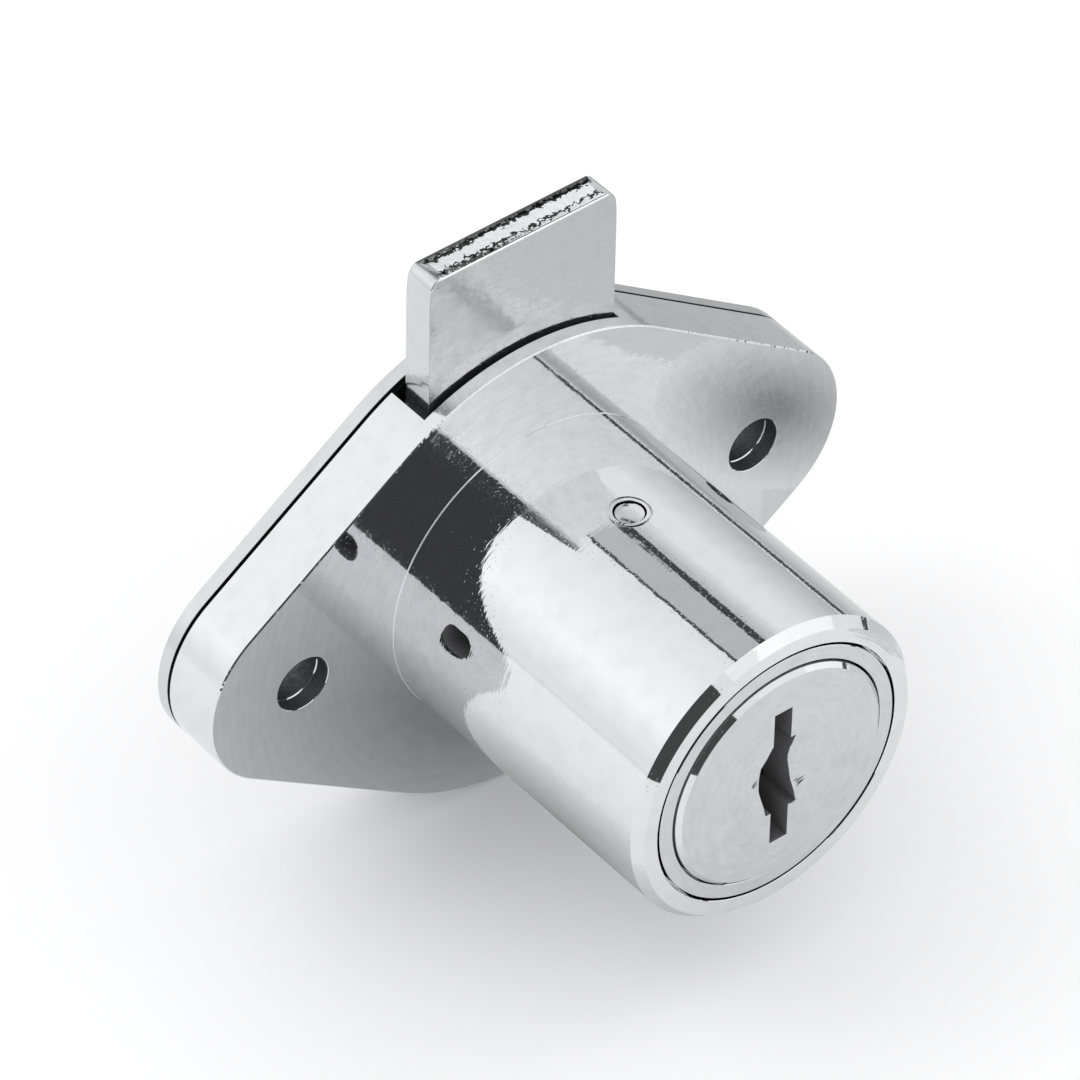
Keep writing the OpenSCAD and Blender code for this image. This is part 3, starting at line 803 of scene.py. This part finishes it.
class LOCK_OT_pins(bpy.types.Operator):
    """Model the stop pin and the drive pin"""

    bl_idname = "lock.pins"
    bl_label = "Pins"

    def execute(self, context):
        finish = context.scene.lock_finishes
        foot, head, radius, tip = STOP_LOW.z, STOP_HIGH.z, 0.84, 0.09
        stop = turned(
            "stop_pin_turned",
            [
                (radius - tip, foot),
                (radius, foot + 0.15),
                (radius, head - 0.12),
                (0.8, head - 0.04),
                (0.6, head - 0.01),
                (0.3, head),
            ],
            y=STOP_Y,
            axis="Z",
            steps=SMALL_ROUND,
        )
        staked = bright_nickel("Nickel over the staked pin", finish.nickel, 0.08, 0.14, specks=0.006)
        outfit(stop, staked, "body", "pin_steel", "stop_pin")
        edge, soft = 0.25, 0.07
        drive = turned(
            "drive_pin_turned",
            [
                (DRIVE_RADIUS - edge, DRIVE_LOW.y),
                (DRIVE_RADIUS, DRIVE_LOW.y + edge),
                (DRIVE_RADIUS, DRIVE_HIGH.y - edge),
                (DRIVE_RADIUS - soft, DRIVE_HIGH.y - soft),
                (DRIVE_RADIUS - edge, DRIVE_HIGH.y),
            ],
            x=DRIVE_X,
            z=DRIVE_Z,
            steps=SMALL_ROUND,
        )
        ground = plain_metal("Ground steel pin", finish.steel, 0.15, 0.16, 0.001)
        outfit(drive, ground, "plug", "pin_steel", "drive_pin")
        return {"FINISHED"}


class LOCK_OT_ring(bpy.types.Operator):
    """Model the front ring"""

    bl_idname = "lock.ring"
    bl_label = "Front ring"

    def execute(self, context):
        finish = context.scene.lock_finishes
        plug_gap, edge = 0.12, 0.04
        outer = RING_HIGH.x - context.scene.lock_plug_sizes.ring_seam / MM
        inner = PLUG_HIGH.x + plug_gap
        front, back = RING_LOW.y, RING_HIGH.y
        ring = turned(
            "front_ring_turned",
            [
                (outer, back),
                (outer, front + edge),
                (outer - edge, front),
                (inner + edge, front),
                (inner, front + edge),
                (inner, back),
            ],
            tube=True,
        )
        nickel = bright_nickel("Bright nickel on turned brass ring", finish.tumbled, 0.07, 0.1, streak=0.3)
        outfit(ring, nickel, "body", "ring_nickel", "front_ring")
        return {"FINISHED"}


class LOCK_OT_plug(bpy.types.Operator):
    """Model the plug with its keyway, dish, wafer slots and stop groove"""

    bl_idname = "lock.plug"
    bl_label = "Plug"

    def execute(self, context):
        sizes = context.scene.lock_plug_sizes
        finish = context.scene.lock_finishes
        radius, width = sizes.radius / MM, sizes.bevel / MM
        face, inner_end, rim = PLUG_LOW.y, PLUG_HIGH.y, 0.1
        plug = turned(
            "plug_turned",
            [
                (radius - rim, inner_end),
                (radius, inner_end - rim),
                (radius, face + width),
                (radius - width, face),
            ],
        )
        # The keyway: narrow ends, a broad middle that leans to the left, and a ward on the right.
        slot, end = sizes.slot_width / 2 / MM, sizes.slot_height / 2 / MM
        mid = sizes.middle_height / 2 / MM
        shoulder, foot, belly, ward_high, ward_low, keyway_end = 0.95, 1.1, 1.4, 1.75, 0.65, -9.75
        outline = [
            (slot, end),
            (slot, mid),
            (shoulder, mid),
            (slot, ward_high),
            (slot, ward_low),
            (foot, -mid),
            (slot, -mid),
            (slot, -end),
            (-slot, -end),
            (-slot, -mid),
            (-shoulder, -mid),
            (-belly, -0.2 * mid),
            (-belly, 0.5 * mid),
            (-slot, mid),
            (-slot, end),
        ]
        cut(plug, prism("keyway", outline, face - OVER, keyway_end))
        dish, dish_depth = sizes.dish / 2 / MM, 0.2
        hollow = [(1.2 * dish, face - 0.05), (dish, face), (0.6 * dish, face + dish_depth)]
        cut(plug, turned("dish", hollow, steps=DISC))
        # Six cross slots for the wafers, with room for each one's lug and spring on alternate sides.
        first_y, pitch, half_slot, half_wafer = -17.925, 1.5, 0.475, 2.55
        lug_reach, lug_foot, pocket_x, pocket_r, pocket_foot, pocket_head = 4.25, 0.45, 3.4, 0.7, -3.2, 0.6
        pocket = [(pocket_r, pocket_foot), (pocket_r, pocket_head)]
        for i in range(len(WAFER_NAMES)):
            y = first_y + pitch * i
            side = 1 if i % 2 == 0 else -1
            low, high = y - half_slot, y + half_slot
            cut(plug, block("wafer_slot", (-half_wafer, low, -BEYOND), (half_wafer, high, BEYOND)))
            left, right = sorted((0.0, side * lug_reach))
            cut(plug, block("lug_room", (left, low, lug_foot), (right, high, BEYOND)))
            cut(plug, turned("spring_pocket", pocket, x=side * pocket_x, y=y, axis="Z", steps=TINY_ROUND))
        # The stop pin's groove: a quarter of a ring, with room for the pin at both ends.
        floor, rim, start, stop, pin_room = 5.7, 8.0, -9.1, -7.0, 1.05
        ring = [(floor, start), (rim, start), (rim, stop), (floor, stop)]
        groove = turned("stop_groove", ring, tube=True)
        low, high = (-BEYOND, start - OVER, -pin_room), (pin_room, stop + OVER, BEYOND)
        combine(groove, "INTERSECT", block("stop_groove_sides", low, high))
        cut(plug, groove)
        hole = turned(
            "drive_pin_hole",
            [(DRIVE_RADIUS, DRIVE_LOW.y), (DRIVE_RADIUS, inner_end + OVER)],
            x=DRIVE_X,
            z=DRIVE_Z,
            steps=SMALL_ROUND,
        )
        cut(plug, hole)
        nickel = bright_nickel("Bright nickel on the plug's bevel", finish.nickel, 0.04, 0.07)
        outfit(plug, nickel, "plug", "plug_nickel", "plug")
        satin = bright_nickel(
            "Satin turned nickel of the plug's face",
            finish.tumbled,
            0.16,
            0.24,
            turning=0.015,
            pitch=0.35,
            streak=0.35,
            # The first spot, left of the keyhole, is painted shade at the dish's edge; the other two are
            # where a key has scraped.
            scuffs_and_shade=((-1.75, 0.3, 0.6), (1.35, -1.2, 0.8), (0.95, -2.4, 0.6)),
        )
        # The plug's inside is raw zinc, kept dark as painted shade in the keyway and the wafer slots.
        raw = plain_metal("Raw zinc inside the plug", finish.zinc, *AS_CAST, RAW)
        second_finish(plug, satin, lambda part: part.normal.y < -0.9 and middle(part).y < face + 0.3)
        second_finish(plug, raw, lambda part: middle(part).y > face + 0.45)
        return {"FINISHED"}


class LOCK_OT_bolt(bpy.types.Operator):
    """Model the flat bolt with its side notch"""

    bl_idname = "lock.bolt"
    bl_label = "Bolt"

    def execute(self, context):
        sizes = context.scene.lock_bolt_sizes
        finish = context.scene.lock_finishes
        corner, foot_cut, crest_round = sizes.corner / MM, 1.13, 0.1
        bolt = block("bolt_plate", BOLT_LOW, BOLT_HIGH)
        bevel(bolt, corner, 8, in_plane(2, BOLT_HIGH.z, level=0))
        bevel(bolt, foot_cut, 1, in_plane(2, BOLT_LOW.z, level=0))
        # Shearing leaves two lands on the end, which slope down to the front and to the rear.
        for y, way, slope in (
            (BOLT_LOW.y * MM + sizes.front_land, -1, math.radians(24)),
            (BOLT_HIGH.y * MM - sizes.rear_land, 1, math.radians(14)),
        ):
            pick(bolt, "faces", lambda face: True)
            bpy.ops.mesh.bisect(
                plane_co=(0, y, BOLT_HIGH.z * MM),
                plane_no=(0, way * math.sin(slope), math.cos(slope)),
                use_fill=True,
                clear_outer=True,
            )
            bpy.ops.object.mode_set(mode="OBJECT")
        shoulder = BOLT_HIGH.z - corner - 0.01

        def high(edge):
            return all(vertex.co.z / MM > shoulder for vertex in edge.verts)

        front, rear = in_plane(1, BOLT_LOW.y), in_plane(1, BOLT_HIGH.y)
        front_upright, rear_upright = in_plane(1, BOLT_LOW.y, level=0), in_plane(1, BOLT_HIGH.y, level=0)
        bevel(bolt, crest_round, 3, in_plane(2, BOLT_HIGH.z, level=1))
        bevel(bolt, sizes.front_edge / MM, 3, lambda edge: front(edge) and high(edge))
        bevel(bolt, sizes.rear_edge / MM, 3, lambda edge: rear(edge) and high(edge))
        bevel(bolt, sizes.side_edge / MM, 2, lambda edge: front_upright(edge) or rear_upright(edge))
        notch_x, half_notch = 1.95, 1.55
        low, high = DRIVE_Z - half_notch, DRIVE_Z + half_notch
        notch = block(
            "bolt_notch", (notch_x, BOLT_LOW.y - OVER, low), (BOLT_HIGH.x + OVER, BOLT_HIGH.y + OVER, high)
        )
        cut(bolt, notch)
        plated = bright_nickel(
            "Barrel-plated nickel of the bolt",
            finish.tumbled,
            0.12,
            0.2,
            wave=0.014,
            turning=0.0,
            specks=0.008,
        )
        outfit(bolt, plated, "bolt", "bolt_nickel", "bolt")
        # Painted highlight: the sheared end is coloured whiter than the rest of the bolt.
        sheared = bright_nickel(
            "Nickel over the bolt's sheared end",
            finish.sheared,
            0.06,
            0.12,
            wave=0.009,
            ripple=0.35,
            turning=0.0,
            specks=0.002,
            # Two dark lines across the end: partly torn metal, partly a painted dark reflection.
            tears_and_dark_reflections=((1.56, 0.1), (2.6, 0.16)),
        )

        def on_end(face):
            place = middle(face)
            return place.z > BOLT_HIGH.z - 0.25 and abs(place.x) < BOLT_HIGH.x - corner

        second_finish(bolt, sheared, on_end)
        return {"FINISHED"}


class LOCK_OT_wafers(bpy.types.Operator):
    """Give the wafers and their springs their finish"""

    bl_idname = "lock.wafers"
    bl_label = "Wafers and springs"

    def execute(self, context):
        finish = context.scene.lock_finishes
        brass = plain_metal("Stamped brass", finish.brass, 0.3, 0.25, 0.002)
        wire = plain_metal("Drawn spring steel", finish.spring, 0.1, 0.3, 0.001)
        for names, material in ((WAFER_NAMES, brass), (SPRING_NAMES, wire)):
            for name in names:
                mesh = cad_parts[name].data
                mesh.materials.clear()
                mesh.materials.append(material)
        return {"FINISHED"}


def paper(piece, distance, near, far, first, last):
    """Make a card glow in reflections alone, from one strength to another along a given distance."""
    material, tree, place = new_material(piece.name + " paper")
    span = {"Value": distance(tree, place), "From Min": first, "From Max": last}
    strength = add_node(tree, "MapRange", {**span, "To Min": near, "To Max": far})
    close_material(tree, add_node(tree, "Emission", {"Color": WHITE, "Strength": strength}))
    piece.data.materials.append(material)
    for ray in ("camera", "diffuse", "transmission", "shadow"):
        setattr(piece, "visible_" + ray, False)


def card(name, first, last, low, high, strength, far=None, radius=0.3, upright=False):
    """A curved studio card round the lock's long axis, seen only in reflections.

    Angles run from +X towards +Z, low and high are its ends along Y in metres. Its strength may change to
    another one at its last angle. An upright card stands round Z, and its angles run from +X towards +Y.
    """
    only()
    bpy.ops.mesh.primitive_cylinder_add(
        vertices=FULL_CARD,
        radius=radius,
        depth=high - low,
        end_fill_type="NOTHING",
        location=(0, 0, (low + high) / 2) if upright else (0, (low + high) / 2, 0),
        rotation=(0, 0, 0) if upright else (math.radians(90), 0, 0),
    )
    piece = settle(name)

    def outside(face):
        place = face.calc_center_median()
        angle = math.degrees(math.atan2(place.y if upright else place.z, place.x))
        return not any(first <= angle + turn <= last for turn in (-360, 0, 360))

    def angle(tree, place):
        axes = add_node(tree, "SeparateXYZ", {0: place}).outputs
        return add_node(tree, "Math", {0: axes["Z"], 1: axes["X"]}, operation="ARCTAN2")

    pick(piece, "faces", outside)
    bpy.ops.mesh.delete(type="FACE")
    bpy.ops.object.mode_set(mode="OBJECT")
    far = strength if far is None else far
    paper(piece, angle, strength, far, math.radians(first), math.radians(last))


def floor_card(name, x, y, radius, height, core, rim):
    """A round card in mm over the floor, seen only in reflections, which fades from its core to its rim."""
    # The card paints shade into what the metal mirrors of the floor.
    only()
    centre = Vector((x, y, height)) * MM
    bpy.ops.mesh.primitive_circle_add(vertices=DISC, radius=radius * MM, fill_type="NGON", location=centre)
    piece = settle(name)

    def distance(tree, place):
        return add_node(tree, "VectorMath", {0: place, 1: centre}, operation="DISTANCE").outputs["Value"]

    paper(piece, distance, core, rim, 0.1 * radius * MM, radius * MM)


def lamp(name, place, size, power):
    """A soft square lamp that points at the lock, its place and size in metres, its power in watts."""
    only()
    place = Vector(place)
    turn = (-place).to_track_quat("-Z", "Y")
    bpy.ops.object.light_add(type="AREA", location=place, rotation=turn.to_euler())
    light = bpy.context.object
    light.name = name
    light.data.shape = "SQUARE"
    light.data.size = size
    light.data.energy = power
    light.visible_glossy = False


class LOCK_OT_stage(bpy.types.Operator):
    """Set up the floor, the cards, the lamps and the camera"""

    bl_idname = "lock.stage"
    bl_label = "Studio"

    def execute(self, context):
        studio = context.scene.lock_studio
        floor_radius, floor_height = 4.0, -0.01505
        only()
        bpy.ops.mesh.primitive_circle_add(
            vertices=DISC, radius=floor_radius, fill_type="NGON", location=(0, 0, floor_height)
        )
        floor = settle("floor")
        # Matt paper: an even white, which keeps the lock's soft shadow.
        material, tree, place = new_material("Matt white paper")
        close_material(tree, add_node(tree, "BsdfDiffuse", {"Color": (*studio.floor, 1.0)}))
        floor.data.materials.append(material)

        # What the camera and the mirrors see of the world is white, and its light is a little less.
        world = bpy.data.worlds.new("Studio")
        world.use_nodes = True
        tree = world.node_tree
        tree.nodes.clear()
        rays = add_node(tree, "LightPath", {}).outputs
        seen = rays["Is Camera Ray"]
        for other in ("Is Glossy Ray", "Is Transmission Ray"):
            seen = add_node(tree, "Math", {0: seen, 1: rays[other]}, operation="MAXIMUM")
        power = add_node(tree, "MapRange", {"Value": seen, "To Min": 0.98, "To Max": 1.0})
        light = add_node(tree, "Background", {"Color": WHITE, "Strength": power})
        add_node(tree, "OutputWorld", {"Surface": light})
        context.scene.world = world

        # Cards seen by the barrel's side, which mirrors what stands behind the flange.
        for name, first, last, strength, far in (
            ("right_wall", 0, 36, 0.58, 1.0),
            ("softbox_fade", 50, 64, 1.0, 0.6),
            ("softbox_edge", 64, 69, 0.07, None),
            ("ceiling", 69, 87, 0.62, None),
            ("left_softbox_edge", 87, 89, 0.1, None),
            ("left_softbox", 89, 147, 1.0, 1.26),
            ("left_softbox_end", 147, 172, 1.26, 1.02),
        ):
            card(name, first, last, 0.06, 0.5, strength, far)
        # The dark foot of the room, which the barrel's right side and the bolt's edges show as a thin line.
        card("room_foot", -100, 80, -0.015, -0.001, 0.1, radius=0.2, upright=True)
        card("room_back", 50, 78, -0.001, 0.25, 0.1, radius=0.35, upright=True)
        # A narrow dark bar, which the bolt's top shows as a line along its front edge.
        card("bar", 54, 69, -0.095, 0.06, 0.05)
        # Cards on the viewer's side, seen by the front bevels and, in the flange, by the barrel's root.
        card("camera_shade", 99, 187, -0.222, -0.13, 0.075)
        card("camera_shade_low", 109, 184, -0.55, -0.222, 0.075)
        card("front_softbox", -12, 97, -0.222, -0.1, 1.12, far=1.45)
        card("front_softbox_low", -12, 97, -0.4, -0.222, 0.95, far=1.15)
        # Painted shadows on the table, seen only in reflections: darkest under the lock, as the flat faces
        # and the barrel show them, and a small dark spot that the flange's right lobe shows.
        floor_card("table_shade", 0, -6, 24, -15.0, 0.25, 0.93)
        floor_card("table_shade_front", 80, -50, 60, -14.98, 0.62, 0.8)
        floor_card("table_shade_back", 110, 60, 110, -14.96, 0.54, 0.81)
        floor_card("table_spot", 29.8, -14.2, 7, -14.9, 0.33, 0.93)

        lamp("key_lamp", (-0.25, 0.2, 0.4), 0.3, 0.35)
        lamp("fill_lamp", (0.35, -0.1, 0.35), 0.3, 0.2)

        eye = Vector((-222.64, -269.53, 320.41)) * MM
        aim = Vector((0.865, 0.366, 0.914)) * MM
        tilt = Quaternion((0, 0, 1), math.radians(1.2551))
        turn = (aim - eye).to_track_quat("-Z", "Y") @ tilt
        bpy.ops.object.camera_add(location=eye, rotation=turn.to_euler())
        camera = bpy.context.object
        camera.name = "camera"
        camera.data.lens = studio.lens
        camera.data.sensor_width = 36.0
        camera.data.clip_start = 0.01
        camera.data.clip_end = 20.0
        context.scene.camera = camera
        context.scene.view_settings.view_transform = "Standard"
        return {"FINISHED"}


class LOCK_PT_panel(bpy.types.Panel):
    bl_label = "Drawer Lock"
    bl_idname = "LOCK_PT_panel"
    bl_space_type = "VIEW_3D"
    bl_region_type = "UI"
    bl_category = "Drawer Lock"

    def draw(self, context):
        scene = context.scene
        groups = (
            ("Body", scene.lock_body_sizes),
            ("Plug", scene.lock_plug_sizes),
            ("Bolt", scene.lock_bolt_sizes),
            ("Finishes", scene.lock_finishes),
            ("Studio", scene.lock_studio),
        )
        for title, group in groups:
            box = self.layout.box()
            box.label(text=title)
            for key in type(group).__annotations__:
                box.prop(group, key)
        for operator in OPERATORS:
            self.layout.operator(operator.bl_idname)


GROUPS = {
    "lock_body_sizes": BodySizes,
    "lock_plug_sizes": PlugSizes,
    "lock_bolt_sizes": BoltSizes,
    "lock_finishes": Finishes,
    "lock_studio": Studio,
}
OPERATORS = (
    LOCK_OT_body,
    LOCK_OT_plate,
    LOCK_OT_pins,
    LOCK_OT_ring,
    LOCK_OT_plug,
    LOCK_OT_bolt,
    LOCK_OT_wafers,
    LOCK_OT_stage,
)


def register():
    for name, group in GROUPS.items():
        bpy.utils.register_class(group)
        setattr(bpy.types.Scene, name, bpy.props.PointerProperty(type=group))
    for operator in OPERATORS:
        bpy.utils.register_class(operator)
    bpy.utils.register_class(LOCK_PT_panel)


def unregister():
    bpy.utils.unregister_class(LOCK_PT_panel)
    for operator in reversed(OPERATORS):
        bpy.utils.unregister_class(operator)
    for name, group in GROUPS.items():
        delattr(bpy.types.Scene, name)
        bpy.utils.unregister_class(group)


def main():
    register()
    bpy.ops.lock.body()
    bpy.ops.lock.plate()
    bpy.ops.lock.pins()
    bpy.ops.lock.ring()
    bpy.ops.lock.plug()
    bpy.ops.lock.bolt()
    bpy.ops.lock.wafers()
    bpy.ops.lock.stage()


if __name__ == "__main__":
    main()
